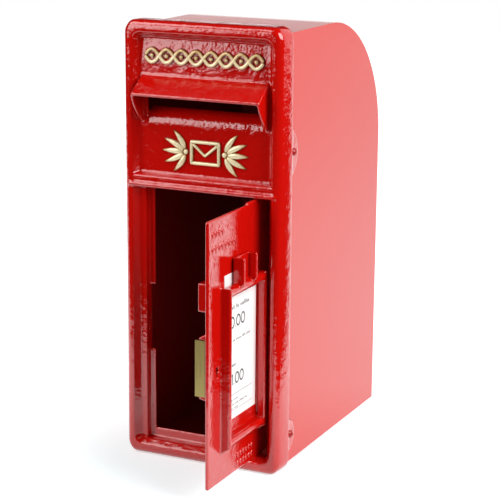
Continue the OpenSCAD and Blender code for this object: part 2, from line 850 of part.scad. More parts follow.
module drill_pin() {
  color(steel) swung() bar_y(key_x, y_lock, y_lock_back, key_z, drill_pin_r);
}

module cap_screws() {
  color(brass) swung() for (p = post_spots()) {
    bar_y(p[0], y_lock_plate + lock_wall, y_lock_back, p[1], cap_screw_r);
    bar_y(p[0], y_lock_back, y_lock_back + cap_screw_head_h, p[1], cap_screw_head_r);
  }
}

module lock_screws() {
  color(steel) swung() for (p = lock_screw_spots()) {
    bar_y(p[0], y_lock_plate - lock_screw_l, y_lock_plate, p[1], lock_screw_r);
    bar_y(p[0], y_lock_plate, y_lock_plate + lock_screw_head_h, p[1], lock_screw_head_r);
  }
}

// Side view of the body, its top and back inset, its front and base run over
module body_profile(inset, over) {
  r = body_curve_r - inset;
  back = y_back - inset;
  top = body_top_z - inset;
  front = y_body - over;
  base = body_z - over;
  translate([front, base]) square([back - r - front, top - base]);
  translate([front, base]) square([back - front, top - r - base]);
  intersection() {
    translate([back - r, top - r]) circle(r, $fn = 128);
    translate([back - r, top - r]) square([r, r]);
  }
}

module right_side_panel() {
  color(red) difference() {
    along_x(panel_in, body_half) body_profile(sheet_t, 0);
    for (z = [upper_screw_z, lower_screw_z])
      bar_x(panel_in - past, body_half + past, y_screw, z, screw_hole_r);
  }
}

module left_side_panel() {
  mirror([1, 0, 0]) right_side_panel();
}

// Top and back of the body, one sheet bent round the curve
module back_sheet() {
  color(red) difference() {
    along_x(-body_half, body_half) difference() {
      body_profile(0, 0);
      body_profile(sheet_t, past);
    }
    for (x = [-wall_hole_dx / 2, wall_hole_dx / 2],
      z = [wall_hole_z - wall_hole_dz / 2, wall_hole_z + wall_hole_dz / 2])
      bar_y(x, y_back - sheet_t - past, y_back + past, z, wall_hole_r);
  }
}

module base_panel() {
  color(red) block(-panel_in, panel_in, y_body, y_back - sheet_t, body_z, body_z + sheet_t);
}

// Slotted dome-head screw along X, its head on the lug's outer face
module side_screw(z) {
  slot = screw_head_h / 3;
  dome_r = arc_r(2 * screw_head_r, screw_head_h);
  bar_x(lug_outer - screw_l, lug_outer, y_screw, z, screw_r);
  difference() {
    translate([lug_outer, y_screw, z]) rotate([0, 90, 0]) rotate_extrude()
      intersection() {
        translate([0, screw_head_h - dome_r]) circle(dome_r);
        square([screw_head_r, screw_head_h]);
      }
    block(lug_outer + screw_head_h - slot, lug_outer + screw_head_h + past,
      y_screw - screw_head_r, y_screw + screw_head_r, z - slot / 2, z + slot / 2);
  }
}

module side_screws() {
  color(red) both_sides() for (z = [upper_screw_z, lower_screw_z]) side_screw(z);
}

// Hexagon nuts inside the side panels
module side_nuts() {
  color(steel) both_sides() for (z = [upper_screw_z, lower_screw_z]) difference() {
    translate([panel_in - nut_h, y_screw, z]) rotate([0, 90, 0])
      cylinder(r = nut_af / sqrt(3), h = nut_h, $fn = 6);
    bar_x(panel_in - nut_h - past, panel_in + past, y_screw, z, screw_r);
  }
}

front_casting();
door();
hinge_pin_top();
hinge_pin_bottom();
notice_card();
lock_case();
lock_cap();
lock_bolt();
bolt_spring();
drill_pin();
cap_screws();
lock_screws();
left_side_panel();
right_side_panel();
back_sheet();
base_panel();
side_screws();
side_nuts();
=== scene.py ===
# %% [markdown]
# # A wall letter box in gloss red
#
# The box has three kinds of part: two iron castings (the front and its door), a body
# of welded sheet steel, and small fittings such as the lock and its screws. All that
# shows is painted red except the lock, the notice card and the gilt ornament.
#
# The exact shapes come from the CAD model. This lesson gives them their looks: soft
# cast edges, thick paint, dull brass, gilt ornament and a printed card. Then it sets
# the box on white paper and photographs it.

# %% Load the frame
import bpy
import bmesh
import json
import math
import numpy as np
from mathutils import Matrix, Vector

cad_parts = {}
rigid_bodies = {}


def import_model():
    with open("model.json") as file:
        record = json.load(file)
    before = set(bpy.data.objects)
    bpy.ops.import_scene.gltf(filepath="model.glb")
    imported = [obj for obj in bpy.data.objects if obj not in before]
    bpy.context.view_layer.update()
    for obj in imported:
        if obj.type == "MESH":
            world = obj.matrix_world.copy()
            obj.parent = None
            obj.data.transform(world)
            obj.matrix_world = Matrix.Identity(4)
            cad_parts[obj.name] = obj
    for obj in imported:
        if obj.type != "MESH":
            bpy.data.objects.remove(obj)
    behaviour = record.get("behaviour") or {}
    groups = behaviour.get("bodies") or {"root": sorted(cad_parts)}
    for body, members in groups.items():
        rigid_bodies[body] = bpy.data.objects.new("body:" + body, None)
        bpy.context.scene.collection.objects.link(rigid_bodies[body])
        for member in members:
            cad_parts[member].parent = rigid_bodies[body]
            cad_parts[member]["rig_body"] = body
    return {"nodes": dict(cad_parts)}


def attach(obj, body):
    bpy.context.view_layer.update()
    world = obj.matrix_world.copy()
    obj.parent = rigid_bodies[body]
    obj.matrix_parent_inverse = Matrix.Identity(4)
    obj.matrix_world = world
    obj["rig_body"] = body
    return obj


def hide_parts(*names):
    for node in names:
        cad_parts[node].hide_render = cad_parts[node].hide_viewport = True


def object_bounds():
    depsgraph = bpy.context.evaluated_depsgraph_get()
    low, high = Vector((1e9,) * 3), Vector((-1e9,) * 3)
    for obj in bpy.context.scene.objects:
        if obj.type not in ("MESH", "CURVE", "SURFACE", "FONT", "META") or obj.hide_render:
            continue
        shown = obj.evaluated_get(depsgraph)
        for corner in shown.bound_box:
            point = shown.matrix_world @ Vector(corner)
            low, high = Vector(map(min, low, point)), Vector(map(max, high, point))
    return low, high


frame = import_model()
cad_lo, cad_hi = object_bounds()
nodes = frame["nodes"]
mm = 0.001
print("nodes:", sorted(nodes))
print("box from", tuple(round(v, 3) for v in cad_lo), "to", tuple(round(v, 3) for v in cad_hi))

# %% [markdown]
# ## Colours and shader nodes
#
# Colours are written as sRGB hex, the way a picture editor shows them. Shader sockets
# want linear light, so one function turns one into the other. A second one adds a node
# and fills its inputs. Nodes could be set up line by line, but then the wiring would
# hide what a material is made of.

# %% Colour and node helpers
def linear(hex_colour):
    """Linear RGBA of an sRGB hex colour: c / 12.92 up to 0.04045, and
    ((c + 0.055) / 1.055) ^ 2.4 above it, for each channel."""
    c = np.array([int(hex_colour[i:i + 2], 16) for i in (0, 2, 4)]) / 255
    c = np.where(c <= 0.04045, c / 12.92, ((c + 0.055) / 1.055) ** 2.4)
    return (*[float(v) for v in c], 1.0)


def add(tree, kind, feeds=None, **values):
    """A new shader node. values sets its settings and inputs by name, with _ for a
    space. feeds gives inputs, by name or number, a value or a socket to link to."""
    node = tree.nodes.new("ShaderNode" + kind)
    for name, value in values.items():
        if hasattr(node, name):
            setattr(node, name, value)
        else:
            node.inputs[name.replace("_", " ")].default_value = value
    for name, value in (feeds or {}).items():
        if isinstance(value, bpy.types.NodeSocket):
            tree.links.new(value, node.inputs[name])
        else:
            node.inputs[name].default_value = value
    return node


print("half grey in linear light:", round(linear("808080")[0], 3))

# %% [markdown]
# ## Materials with a skin
#
# Every finish here is a Principled shader. The skin of a real surface, such as pebbles
# or brush marks, could be modelled, but it is finer than any mesh here. So noise tilts
# the surface's normal instead, in spots of the size that the real skin has.

# %% Material helper
def new_material(name, bumps=(), **values):
    """A Principled material, its inputs set by values. Each bump is a pair: the size of
    a noise pattern's spots and their height, both in mm. The coarse one comes first,
    and the next one tilts the normal further."""
    material = bpy.data.materials.new(name)
    material.use_nodes = True
    tree = material.node_tree
    shader = tree.nodes["Principled BSDF"]
    for key, value in values.items():
        shader.inputs[key.replace("_", " ")].default_value = value
    if bumps:
        place = add(tree, "TexCoord")
    feeds = {}
    for size, height in bumps:
        noise = add(tree, "TexNoise", {"Vector": place.outputs["Object"]},
                    Scale=1 / (size * mm), Detail=2.0)
        feeds["Height"] = noise.outputs["Fac"]
        bump = add(tree, "Bump", feeds, Distance=height * mm)
        feeds["Normal"] = bump.outputs["Normal"]
        tree.links.new(bump.outputs["Normal"], shader.inputs["Normal"])
        tree.links.new(bump.outputs["Normal"], shader.inputs["Coat Normal"])
    print(name, "with", len(bumps), "noise patterns")
    return material


# %% [markdown]
# ## Paint
#
# Cast iron comes out of its sand mould with a pebbled skin. Several coats of gloss
# paint round the pebbles off, but each reflection still breaks up at its edges. Two
# noise patterns do this: slow waves and pebbles about 3 mm across. One pattern alone
# looks either dented or sandy. The sheet body is smoother and only has the faint ripple
# of sprayed paint. Its inside takes a darker, duller red: painted shade for the dark
# inside of the box. Gloss enamel has a roughness near 0.1, so both gloss paints start
# there, and every paint keeps the default IOR.

# %% Red paints
# Thick gloss enamel on iron: deep red under a clear mirror that wavers.
cast_paint = new_material(
    "cast_gloss_red_paint", bumps=[(12, 0.7), (3.2, 0.25)],
    Base_Color=linear("C80E07"), Roughness=0.07, Coat_Weight=0.7, Coat_Roughness=0.03)
# Sprayed gloss enamel on smooth steel: a softer mirror with even edges.
sheet_paint = new_material(
    "sheet_gloss_red_paint", bumps=[(16, 0.05)],
    Base_Color=linear("D0200F"), Roughness=0.14, Coat_Weight=0.1, Coat_Roughness=0.08)
# Painted shade for the inside of the box: a dull dark red that mirrors nothing.
inside_shade_paint = new_material(
    "inside_painted_shade_red", bumps=[(4, 0.1)],
    Base_Color=linear("800A09"), Roughness=0.55)
# Darker red paint on the screw heads, with a small shine.
screw_paint = new_material(
    "screw_dark_red_paint", bumps=[(2, 0.05)],
    Base_Color=linear("A80C08"), Roughness=0.2)

# %% [markdown]
# ## Metals, card and ink
#
# The lock is bare brass that has dulled to a greenish brown. The pins, the spring and
# the nuts are plain steel. A metal has no colour under its shine: it tints what it
# mirrors. So the metallic value of both is near 1. The card is matt board with dark
# grey print.

# %% Metals, card and ink
# Dulled brass: a broad soft shine with a faint grain.
lock_brass = new_material(
    "dull_lock_brass", bumps=[(1.5, 0.03)],
    Base_Color=linear("B09A60"), Metallic=0.85, Roughness=0.4)
# Bright steel, as drawn wire and turned nuts have it.
plain_steel = new_material(
    "plain_steel", Base_Color=linear("9A9A98"), Metallic=1.0, Roughness=0.35)
# Uncoated white board and matt ink: neither shines.
card_board = new_material(
    "white_card_board", Base_Color=linear("F4F4F2"), Roughness=0.6)
card_ink = new_material(
    "grey_printing_ink", Base_Color=linear("3A3B40"), Roughness=0.6)

# %% [markdown]
# ## Gilding
#
# The ornament is cast with the face and painted red with it. Gold paint is then
# brushed over the raised tops only, so the flanks stay red. A painted mask could
# show this, but the height above the face already tells where a brush would touch:
# dark red at the foot, old gold on the slope and pale cream on the top. The dark red is
# painted shade and the pale cream a painted highlight, as light falls on raised strokes.
# Noise makes their edges uneven.

# %% Gilt paint
face_y = -5 * mm
# Where the gold and the pale painted highlight start and are full, in mm above the face
old_gold, painted_highlight = (0.3, 1.2), (0.9, 2.2)
# How far the edge of a coat wanders, and the size of the spots that make it wander
wander, brush_spot = 1.4 * mm, 3 * mm
# Gold paint is pigment in varnish, so it is far less metallic than gold leaf.
gold_metallic = 0.25

gilt_with_painted_light = new_material("gold_over_red_with_painted_light", bumps=[(2.5, 0.2)], Roughness=0.3)
tree = gilt_with_painted_light.node_tree
shader = tree.nodes["Principled BSDF"]
place = add(tree, "TexCoord")
split = add(tree, "SeparateXYZ", {"Vector": place.outputs["Object"]})
noise = add(tree, "TexNoise", {"Vector": place.outputs["Object"]}, Scale=1 / brush_spot)
wobble = add(tree, "Math", {0: noise.outputs["Fac"], 1: wander}, operation="MULTIPLY")
depth = add(tree, "Math", {0: split.outputs["Y"], 1: wobble.outputs[0]}, operation="ADD")
first_coat, highlight_share = [
    add(tree, "MapRange", {"Value": depth.outputs[0]},
        From_Min=face_y - low * mm, From_Max=face_y - high * mm).outputs["Result"]
    for low, high in (old_gold, painted_highlight)]
# A Mix node has inputs for each type of data: 6 and 7 are its two colours.
# Painted shade and highlight: 6A1006 is a dark red for the shade at the foot of each stroke,
# and FFF0C4 a pale cream for the light on its top.
slope = add(tree, "Mix", {0: first_coat, 6: linear("6A1006"), 7: linear("B98A3C")},
            data_type="RGBA")
top = add(tree, "Mix", {0: highlight_share, 6: slope.outputs[2], 7: linear("FFF0C4")},
          data_type="RGBA")
tree.links.new(top.outputs[2], shader.inputs["Base Color"])
metal = add(tree, "Math", {0: first_coat, 1: gold_metallic}, operation="MULTIPLY")
tree.links.new(metal.outputs[0], shader.inputs["Metallic"])
print("gold starts", old_gold[0], "mm above the face and is full at", painted_highlight[1], "mm")

# %% [markdown]
# ## Which part takes which finish
#
# Each CAD part gets one finish. The sheets get two: faces that look into the box take
# the dark, dull inside paint, which is painted shade for the inside of the box. Those
# faces could be picked by hand, but a dot product tells them as well: a face looks
# inwards when its normal points at the middle of the box.

# %% Give each part its finish
finish_of = {
    "front_casting": cast_paint, "door": cast_paint,
    "left_side_panel": sheet_paint, "right_side_panel": sheet_paint,
    "back_sheet": sheet_paint, "base_panel": sheet_paint,
    "side_screws": screw_paint, "lock_case": lock_brass, "lock_cap": lock_brass,
    "lock_bolt": lock_brass, "cap_screws": lock_brass, "lock_screws": lock_brass,
    "drill_pin": plain_steel, "bolt_spring": plain_steel, "side_nuts": plain_steel,
    "hinge_pin_top": plain_steel, "hinge_pin_bottom": plain_steel,
    "notice_card": card_board}
for name, material in finish_of.items():
    nodes[name].data.materials.clear()
    nodes[name].data.materials.append(material)

# A point inside the body, half-way back and half-way up, in metres
box_middle = np.array([0, 0.15, 0.28])
# A Y in front of the whole box
far_front = -1.0


def paint_inside_shade(mesh, deeper_than=far_front):
    """Gives the faces that look at box_middle, and lie behind Y = deeper_than, the dark
    inside paint, which is painted shade: (box_middle - face centre) . face normal > 0."""
    count = len(mesh.polygons)
    centre, normal = np.zeros(count * 3), np.zeros(count * 3)
    mesh.polygons.foreach_get("center", centre)
    mesh.polygons.foreach_get("normal", normal)
    centre, normal = centre.reshape(-1, 3), normal.reshape(-1, 3)
    inward = ((box_middle - centre) * normal).sum(1) > 0
    inward &= centre[:, 1] > deeper_than
    mesh.materials.append(inside_shade_paint)
    mesh.polygons.foreach_set("material_index", inward.astype(np.int32))
    print(mesh.name, "faces looking inwards:", int(inward.sum()), "of", count)


# Painted shade: the faces of the sheets that look into the box take the dark inside paint.
for name in ("left_side_panel", "right_side_panel", "back_sheet", "base_panel"):
    paint_inside_shade(nodes[name].data)

# %% [markdown]
# ## Soft castings
#
# A casting has no sharp edge anywhere: the sand rounds it, and paint rounds it more. The
# CAD shape has sharp edges. A Bevel modifier would round them, but it trips over the
# many short edges of ribs and bosses. So a copy is rebuilt from small cubes (the Remesh
# modifier), smoothed until its edges are about 2 mm round, and thinned out where it is
# flat. The copy stands for the CAD part in the picture.

# %% Build the soft castings
half_way = 0.5


def soft_copy(node, voxel, passes, keep):
    """A remeshed and smoothed copy of a CAD node, which it replaces in the picture.
    voxel is in mm, and keep is the share of faces that thinning out leaves. Each
    smoothing pass moves a point half-way to the mean of its neighbours."""
    source = nodes[node]
    copy = bpy.data.objects.new(node + "_cast", source.data.copy())
    bpy.context.scene.collection.objects.link(copy)
    remesh = copy.modifiers.new("cubes", "REMESH")
    remesh.mode = "VOXEL"
    remesh.voxel_size = voxel * mm
    smooth = copy.modifiers.new("soften", "SMOOTH")
    smooth.factor = half_way
    smooth.iterations = passes
    thin = copy.modifiers.new("thin_out", "DECIMATE")
    thin.ratio = keep
    graph = bpy.context.evaluated_depsgraph_get()
    mesh = bpy.data.meshes.new_from_object(copy.evaluated_get(graph))
    copy.modifiers.clear()
    copy.data = mesh
    mesh.name = node + "_cast"
    mesh.materials.clear()
    mesh.materials.append(finish_of[node])
    mesh.polygons.foreach_set("use_smooth", np.ones(len(mesh.polygons), bool))
    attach(copy, source["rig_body"])
    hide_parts(node)
    print(copy.name, "triangles:", sum(len(p.vertices) - 2 for p in mesh.polygons))
    return copy


front = soft_copy("front_casting", voxel=1.2, passes=6, keep=0.4)
door = soft_copy("door", voxel=1.0, passes=4, keep=0.5)
# Painted shade on the casting as well: its faces that look into the box, deeper than 8 mm,
# take the dark inside paint.
paint_inside_shade(front.data, deeper_than=8 * mm)

# %% [markdown]
# ## Points as an array
#
# The soft copies still need a few small changes of shape. Sculpting them by hand can't
# be repeated, so their points are read into one array, moved by a formula and put back.
# A smooth step fades each move out, so that it leaves no crease.

# %% Point helpers
def smooth_step(v, low, high):
    """0 below low, 1 above high, and 3 t^2 - 2 t^3 between them."""
    t = np.clip((v - low) / (high - low), 0, 1)
    return t * t * (3 - 2 * t)


def points_of(mesh):
    """The points of a mesh as an array, in mm."""
    flat = np.empty(len(mesh.vertices) * 3)
    mesh.vertices.foreach_get("co", flat)
    return flat.reshape(-1, 3) / mm


def put_points(mesh, points):
    """Puts an array of points, in mm, back into its mesh."""
    mesh.vertices.foreach_set("co", (points * mm).ravel())
    mesh.update()


print("smooth step at a quarter:", smooth_step(0.25, 0, 1))

# %% [markdown]
# ## Draft and lean
#
# A foundry pattern has draft: its sides close in towards the front, so that it lifts
# out of the sand. Here both sides are gently crowned. The panel over the hood leans
# back at its top, so it catches the light of the high window. The lower edge of the
# door is a little higher, so that the round inner corner of the sill leaves it room
# when it shuts. All three moves go inwards. A lattice could bend the castings too, but a
# formula moves only the points that it names.

# %% Crown the sides and lean the upper panel
# All in mm. The crown starts at this Y and closes in over this length, on this radius.
crown_start, crown_length, crown_radius = 15, 22, 110
# The crown fades in from the inner edge of each side to its outer face.
side_inner, side_outer = 97, 109
# The foot of the panel, the height over which it leans, and its lean at the top
panel_foot, panel_height, panel_lean = 500, 51, 2.8
# The lean fades out under the rim, and only the panel's front face takes it.
rim_inner, rim_outer = 86, 97
rim_slope_y, panel_front_y, panel_back_y = -9, -5.5, -3
# The door's points are lifted in full below the first height, and not above the second.
door_foot, door_foot_end, door_lift = 20, 25, 0.6


def lean(x, z):
    """How far the panel over the hood lies back at x and z, in mm: the lean times the
    square of the share of its height that z has reached."""
    up = np.clip((z - panel_foot) / panel_height, 0, 1)
    return panel_lean * up * up * (1 - smooth_step(np.abs(x), rim_inner, rim_outer))


# The columns x, y and z are views of the array, so a change of one moves the points.
points = points_of(front.data)
x, y, z = points.T
run = np.clip(crown_start - y, 0, crown_length)
closing = run * run / (2 * crown_radius)
x -= np.sign(x) * closing * smooth_step(np.abs(x), side_inner, side_outer)
y += lean(x, z) * smooth_step(y, rim_slope_y, panel_front_y) * (y < panel_back_y)
put_points(front.data, points)

points = points_of(door.data)
x, y, z = points.T
z += door_lift * (1 - smooth_step(z, door_foot, door_foot_end))
put_points(door.data, points)
print("crowned by", round(float(closing.max()), 2), "mm at most")

# %% [markdown]
# ## Surfaces from grids
#
# The ornament and the print are swept shapes: a ring of points carried along a path. A
# curve with a bevel could sweep them too, but an array of rings lets the ring change on
# its way, and a whole surface is made at once.

# %% Grid helper
merge_distance = 0.01 * mm


def grid_object(name, grids, material, body):
    """One object from pairs of a grid and a flag. A grid is an array of rings x points
    x 3, in metres. The points of a ring join up into a loop, and where the flag is True
    the last ring joins the first. Doubles are merged before the normals are turned
    outwards."""
    points, faces, start = [], [], 0
    for grid, closed in grids:
        rings, ring_points = grid.shape[:2]
        index = np.arange(rings * ring_points).reshape(rings, ring_points) + start
        ahead = np.roll(index, -1, 1)
        above, above_ahead = np.roll(index, -1, 0), np.roll(ahead, -1, 0)
        quads = np.stack([index, ahead, above_ahead, above], -1)
        quads = quads if closed else quads[:-1]
        faces.append(quads.reshape(-1, 4))
        points.append(grid.reshape(-1, 3))
        start += rings * ring_points
    mesh = bpy.data.meshes.new(name)
    mesh.from_pydata(np.concatenate(points), [], np.concatenate(faces).tolist())
    work = bmesh.new()
    work.from_mesh(mesh)
    bmesh.ops.remove_doubles(work, verts=work.verts, dist=merge_distance)
    bmesh.ops.recalc_face_normals(work, faces=work.faces)
    work.to_mesh(mesh)
    work.free()
    mesh.polygons.foreach_set("use_smooth", np.ones(len(mesh.polygons), bool))
    mesh.materials.append(material)
    piece = bpy.data.objects.new(name, mesh)
    bpy.context.scene.collection.objects.link(piece)
    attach(piece, body)
    print(name, "faces:", len(mesh.polygons))
    return piece


print("points closer than", round(merge_distance / mm, 3), "mm become one")

# %% [markdown]
# ## Ridges
#
# The raised ornament is made of lines. Each is a ridge a few millimetres wide and high,
# as a pattern maker would carve it: steep at its foot, so that it throws a shadow, and
# round on top, so that it catches a light. It starts a little inside the face, so no
# gap can show under it.

# %% Ridge function
# How far the ornament reaches into the face, in mm
sunk = 0.4


def circle(count):
    """Angles in radians, evenly round a circle. The full turn itself is left out,
    because it would repeat the first one."""
    return np.linspace(0, 2 * np.pi, count, endpoint=False)


def sideways(line, closed):
    """Unit vectors to the left of a line of points in a plane, one for each point: the
    direction from the point before it to the one after it, turned by 90 degrees."""
    along = np.roll(line, -1, 0) - np.roll(line, 1, 0) if closed else np.gradient(line, axis=0)
    along /= np.linalg.norm(along, axis=1, keepdims=True)
    return np.stack([-along[:, 1], along[:, 0]], 1)


def ridge(line, width, height, closed=False, leaf=False):
    """A ridge on the face along a line in X and Z, in mm. Across it, the angle a runs
    round: width / 2 * cos(a) to the side, and height * sin(a) ^ 0.6 off the face, or
    the depth sunk into it. Open ends narrow in a half circle. The width of a leaf is
    sin(pi * t ^ 0.7) ^ 0.8, from its foot at t = 0 to its tip at t = 1. Where a ridge
    narrows, it gets lower with the square root of its width."""
    line = np.array(line, float)
    side = sideways(line, closed)
    full = np.ones(len(line))
    steps = np.linalg.norm(np.diff(line, axis=0), axis=1)
    run = np.concatenate([[0], np.cumsum(steps)])
    if leaf:
        full = np.sin(np.pi * (run / run[-1]) ** 0.7).clip(0) ** 0.8
    elif not closed:
        near = np.clip(np.minimum(run, run[-1] - run) / (width / 2), 0, 1)
        full = np.sqrt(1 - (1 - near) ** 2)
    a = circle(18)
    across = np.cos(a) * width / 2
    lift = np.where(np.sin(a) > 0, height * np.abs(np.sin(a)) ** 0.6, sunk * np.sin(a))
    flat = line[:, None, :] + side[:, None, :] * (across * full[:, None])[:, :, None]
    y = face_y / mm - lift * np.where(lift > 0, full[:, None] ** 0.5, 1)
    return np.stack([flat[..., 0], y, flat[..., 1]], -1) * mm, closed


print("a ridge starts", sunk, "mm inside the face")

# %% [markdown]
# ## Bosses
#
# A boss is a round button. It could be a sphere that is pushed half into the face, but
# a cast one has a flatter top and a steeper foot, so it gets a profile of its own.

# %% Boss function
def boss(x, z, radius, height):
    """A round boss on the face: a ring of radius * sin(b) stands height * cos(b) ^ 0.7
    off it, b from almost 0 at the top to 90 degrees at the foot. Two last rings go into
    the face and close in under it."""
    b = np.linspace(0.02, np.pi / 2, 8)
    reach = np.append(np.sin(b), [1, 0.01])
    lift = np.append(np.cos(b) ** 0.7 * height, [-sunk, -sunk])
    a = circle(20)
    ring = reach[:, None] * radius
    return np.stack([x + ring * np.cos(a), face_y / mm - lift[:, None] + 0 * a,
                     z + ring * np.sin(a)], -1) * mm, False


print("rings of a boss:", len(boss(0, 0, 1, 1)[0]))

# %% [markdown]
# ## The band over the hood
#
# Two waves run against each other over the hood, so every crossing closes an eye, and
# each eye holds a boss. A sine gives both waves: one with its sign turned round. The
# band leans back with the panel under it.

# %% Build the band
band_left, band_z, eye_count, eye_length, wave_height = -83, 526, 8, 20.6, 8.2

x = np.linspace(band_left, band_left + eye_count * eye_length, 160)
wave = wave_height * np.sin(np.pi * (x - band_left) / eye_length)
frieze = [ridge(np.column_stack([x, band_z + way * wave]), width=5.4, height=3.4)
          for way in (-1, 1)]
frieze += [boss(band_left + eye_length * (i + 0.5), band_z, radius=3.2, height=3.2)
           for i in range(eye_count)]
for grid, closed in frieze:
    grid[..., 1] += lean(grid[..., 0] / mm, grid[..., 2] / mm) * mm
grid_object("gilt_frieze", frieze, gilt_with_painted_light, "box")

# %% [markdown]
# ## The envelope and its leaves
#
# Under the hood an envelope stands between two fans of leaves. The leaves of a fan
# start from one boss and bend away from the envelope, and the second fan is the first
# one with its X turned round. Mirroring the mesh would do that as well, but would turn
# its faces inside out.

# %% Build the envelope and the leaves
middle = np.array([2, 408])
half_width, half_height = 19, 13.5
fan_distance, leaf_start = 27, 3
# Angle in degrees, length and sideways bend in mm of each leaf
leaves = ((72, 28, 9), (36, 31, 6), (0, 31, 0), (-36, 31, -6), (-72, 28, -9))

corner = middle + np.array([[-1, -1], [1, -1], [1, 1], [-1, 1]]) * (half_width, half_height)
sides = np.concatenate([
    np.linspace(corner[i], corner[(i + 1) % 4], 12, endpoint=False) for i in range(4)])
left, tip, right = middle + np.array([[-17.5, 11], [0, -3.5], [17.5, 11]])
flap = np.concatenate([np.linspace(left, tip, 14), np.linspace(tip, right, 14)[1:]])
emblem = [ridge(sides, width=4.6, height=3.2, closed=True),
          ridge(flap, width=3.8, height=3)]
t = np.linspace(0, 1, 20)[:, None]
for way in (-1, 1):
    foot = middle + np.array([way * fan_distance, 0])
    for angle, reach, bend in leaves:
        a = np.radians(angle)
        out = np.array([way * np.cos(a), np.sin(a)])
        aside = np.array([-way * np.sin(a), np.cos(a)])
        leaf = foot + out * (leaf_start + reach * t) - aside * bend * t * t
        emblem.append(ridge(leaf, width=7.6, height=3.4, leaf=True))
    emblem.append(boss(*foot, radius=3.6, height=3.4))
grid_object("gilt_emblem", emblem, gilt_with_painted_light, "box")

# %% [markdown]
# ## Studs on the door
#
# The door carries low cast ornament above and below the notice: rows of lozenge studs
# under the same red paint. A bump could draw them, but they are 1 mm high and seen at
# a flat angle, where a bump looks painted on. So each stud is a small mesh.

# %% Build the studs
# The open door's outer face, in mm
door_x = 76.7
# Share of a stud's size and of its height that each ring has, from its top down
stud_reach = np.array([0.02, 0.35, 0.6, 0.8, 0.92, 1, 1, 0.02])
stud_lift = np.array([1, 0.97, 0.88, 0.66, 0.36, 0, -0.3, -0.3])


def stud(y, z, width, length, height):
    """A low lozenge on the door, of rings that each have a share of its size and height.
    With the angle a, a ring's point lies at cos(a) / s, sin(a) / s, where s = |cos(a)|
    + |sin(a)|, which draws the lozenge."""
    reach, lift = stud_reach, stud_lift * height
    a = circle(24)
    s = np.abs(np.cos(a)) + np.abs(np.sin(a))
    return np.stack([door_x + lift[:, None] + 0 * a,
                     y + reach[:, None] * width / 2 * np.cos(a) / s,
                     z + reach[:, None] * length / 2 * np.sin(a) / s], -1) * mm, False


def stud_row(y, z, count, step, **size):
    """A row of studs, step apart, with the first one at y and z."""
    return [stud(y + step * i, z, **size) for i in range(count)]


# Each row gives the Y of its first stud, its Z and how many studs it has.
large = {"step": 8.6, "width": 7, "length": 12, "height": 1.1}
small = {"step": 8, "width": 6.4, "length": 8, "height": 1.0}
studs = stud_row(-133, 338, 4, **large) + stud_row(-133, 320, 8, **large)
studs += stud_row(-70, 42, 7, **small) + stud_row(-70, 31, 7, **small)
grid_object("door_studs", studs, cast_paint, "door")

# %% [markdown]
# ## Small print on the card
#
# The notice is printed in grey: lines of small words, two opening times and thin rules.
# At this size a word is only a row of short upright strokes, so that is how it is made:
# one flat bar for each stroke, with some strokes taller. Print on a real card has no
# thickness. Here the ink stands 0.03 mm proud, so that the card doesn't hide it.

# %% Bars of ink and small words
# The printed face of the card, and the front and the back of the ink, in mm
card_x = 77.2
ink_front, ink_back = card_x + 0.03, card_x - 0.05
rng = np.random.default_rng(7)
# Two strokes in three are short, as most small letters are.
stroke_heights = [0.62, 0.62, 1.0]
stroke_width, word_space = 0.55, 1.2


def bar(y, z, width, height):
    """A flat bar of ink, from its low corner: four rings make a box with its back just
    in the card. The first and the last are drawn together and close its two faces."""
    corners = np.array([[y, z], [y + width, z], [y + width, z + height], [y, z + height]])
    centre = corners.mean(0)
    rings = ((ink_back, 0.001), (ink_back, 1), (ink_front, 1), (ink_front, 0.001))
    return np.stack([np.column_stack([np.full(4, x), centre + (corners - centre) * size])
                     for x, size in rings]) * mm, False


def words(y, z, counts, height, step):
    """A line of small print: counts gives how many upright strokes each word has, step
    the distance between two strokes. Stroke width and word space are shares of it."""
    bars = []
    for count in counts:
        for tall in rng.choice(stroke_heights, count):
            bars.append(bar(y, z, step * stroke_width, height * tall))
            y += step
        y += step * word_space
    return bars


print("ink is", round(ink_front - card_x, 3), "mm proud of the card")

# %% [markdown]
# ## Numbers on the card
#
# The opening times are large enough to read, so they are plain numbers. A text object
# would need a font, and a pen line is all that a 0 and a 1 need: an ellipse, and a stem
# with a flag.

# %% Pen lines and numbers
# Widths of the pen, in mm
oval_pen, stem_pen, flag_pen = 2.0, 1.9, 1.6
# The stem's place as a share of the width, and the flag's low end as one of the height
stem_share, flag_share = 0.6, 0.78
# In mm: the stem reaches below the line as a round 0 does, the flag starts just inside
# the digit's width, and the point is shifted to the left and down.
stem_below, flag_inset, point_size, point_shift = 0.7, 0.1, 1.6, 0.6
# How far the next digit stands from the start of this one, as shares of its width
advance = {"0": 1.28, "1": 1.0, ".": 0.35}


def pen(line, width, closed=False):
    """A pen line of ink along points in Y and Z: width / 2 to each side of the path."""
    line = np.array(line, float)
    side = sideways(line, closed) * width / 2
    back, front = np.full(len(line), ink_back), np.full(len(line), ink_front)
    edges = ((back, line - side), (front, line - side), (front, line + side),
             (back, line + side))
    return np.stack([np.column_stack(edge) for edge in edges], 1) * mm, closed


